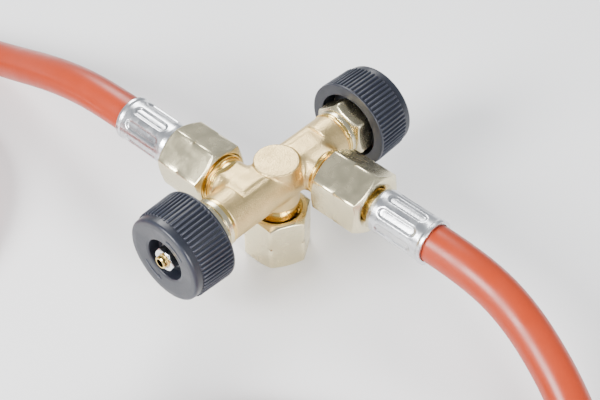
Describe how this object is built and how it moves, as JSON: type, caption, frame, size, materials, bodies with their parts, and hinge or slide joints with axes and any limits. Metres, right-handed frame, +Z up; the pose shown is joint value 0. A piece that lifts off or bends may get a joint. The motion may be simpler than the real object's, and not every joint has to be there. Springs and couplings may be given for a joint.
{
  "type": "gas hose distributor",
  "caption": "Two-way brass gas distributor with shut-off valves, ribbed handwheels, an inlet union nut and coiled rubber hoses with crimped union fittings.",
  "frame": {"origin": "on the floor under the inlet axis, in the middle of the distributor without its loose hoses", "axes": "+Z up, against the inlet flow's mouth; +X along the barrel from the left valve to the right one; the left outlet faces +Y and the right outlet faces -Y"},
  "size_m": [0.2159, 0.3326, 0.0446],
  "materials": {
    "forged_brass": "forged and blasted, satin",
    "turned_brass": "turned, bright",
    "nut_brass": "drawn bar, smooth satin",
    "zinc_steel": "bright zinc plated",
    "bright_steel": "nickel plated",
    "handwheel_plastic": "moulded, fine satin",
    "hose_rubber": "smooth satin",
    "seal_rubber": "matte",
    "gasket_fibre": "matte fibre",
    "tie_fabric": "woven hook and loop tape"
  },
  "bodies": {
    "root": {"distributor_body": "forged_brass", "inlet_nipple": "turned_brass", "left_bonnet": "turned_brass", "left_bonnet_gasket": "gasket_fibre", "left_hose_nipple": "turned_brass", "left_ferrule": "zinc_steel", "left_hose_run": "hose_rubber", "left_hose_coil": "hose_rubber", "left_coil_tie": "tie_fabric", "left_hose_tail": "hose_rubber", "left_end_nipple": "turned_brass", "left_end_ferrule": "zinc_steel", "right_bonnet": "turned_brass", "right_bonnet_gasket": "gasket_fibre", "right_hose_nipple": "turned_brass", "right_ferrule": "zinc_steel", "right_hose_run": "hose_rubber", "right_hose_coil": "hose_rubber", "right_coil_tie": "tie_fabric", "right_hose_tail": "hose_rubber", "right_end_nipple": "turned_brass", "right_end_ferrule": "zinc_steel"},
    "inlet_nut": {"inlet_union_nut": "nut_brass"},
    "left_valve": {"left_handwheel": "handwheel_plastic", "left_handwheel_washer": "bright_steel", "left_handwheel_nut": "bright_steel", "left_upper_spindle": "turned_brass", "left_spindle_o_ring": "seal_rubber"},
    "left_closing_disc": {"left_lower_spindle": "turned_brass", "left_seat_disc": "seal_rubber"},
    "left_hose_nut": {"left_hose_union_nut": "nut_brass"},
    "left_end_nut": {"left_end_union_nut": "nut_brass"},
    "right_valve": {"right_handwheel": "handwheel_plastic", "right_handwheel_washer": "bright_steel", "right_handwheel_nut": "bright_steel", "right_upper_spindle": "turned_brass", "right_spindle_o_ring": "seal_rubber"},
    "right_closing_disc": {"right_lower_spindle": "turned_brass", "right_seat_disc": "seal_rubber"},
    "right_hose_nut": {"right_hose_union_nut": "nut_brass"},
    "right_end_nut": {"right_end_union_nut": "nut_brass"}
  },
  "joints": [
    {"name": "left_handwheel_turn", "type": "hinge", "parent": "root", "child": "left_valve", "pos_m": [-0.04, 0, 0.03], "axis": [-1, 0, 0], "range_deg": [0, 720]},
    {"name": "left_disc_lift", "type": "slide", "parent": "left_valve", "child": "left_closing_disc", "axis": [-1, 0, 0], "range_m": [0, 0.002]},
    {"name": "right_handwheel_turn", "type": "hinge", "parent": "root", "child": "right_valve", "pos_m": [0.04, 0, 0.03], "axis": [1, 0, 0], "range_deg": [0, 720]},
    {"name": "right_disc_lift", "type": "slide", "parent": "right_valve", "child": "right_closing_disc", "axis": [1, 0, 0], "range_m": [0, 0.002]},
    {"name": "inlet_nut_turn", "type": "hinge", "parent": "root", "child": "inlet_nut", "pos_m": [0, 0, 0.009], "axis": [0, 0, 1], "continuous": true},
    {"name": "left_hose_nut_turn", "type": "hinge", "parent": "root", "child": "left_hose_nut", "pos_m": [-0.0116, 0.0206, 0.03], "axis": [0, 1, 0], "continuous": true},
    {"name": "left_end_nut_turn", "type": "hinge", "parent": "root", "child": "left_end_nut", "pos_m": [-0.153, 0.0871, 0.02307], "axis": [0, -1, 0], "continuous": true},
    {"name": "right_hose_nut_turn", "type": "hinge", "parent": "root", "child": "right_hose_nut", "pos_m": [0.0116, -0.0206, 0.03], "axis": [0, -1, 0], "continuous": true},
    {"name": "right_end_nut_turn", "type": "hinge", "parent": "root", "child": "right_end_nut", "pos_m": [-0.1554, -0.0494, 0.02307], "axis": [0, 1, 0], "continuous": true}
  ],
  "couplings": [
    {"joint": "left_disc_lift", "follows": "left_handwheel_turn", "m_per_rad": 0.000159},
    {"joint": "right_disc_lift", "follows": "right_handwheel_turn", "m_per_rad": 0.000159}
  ]
}
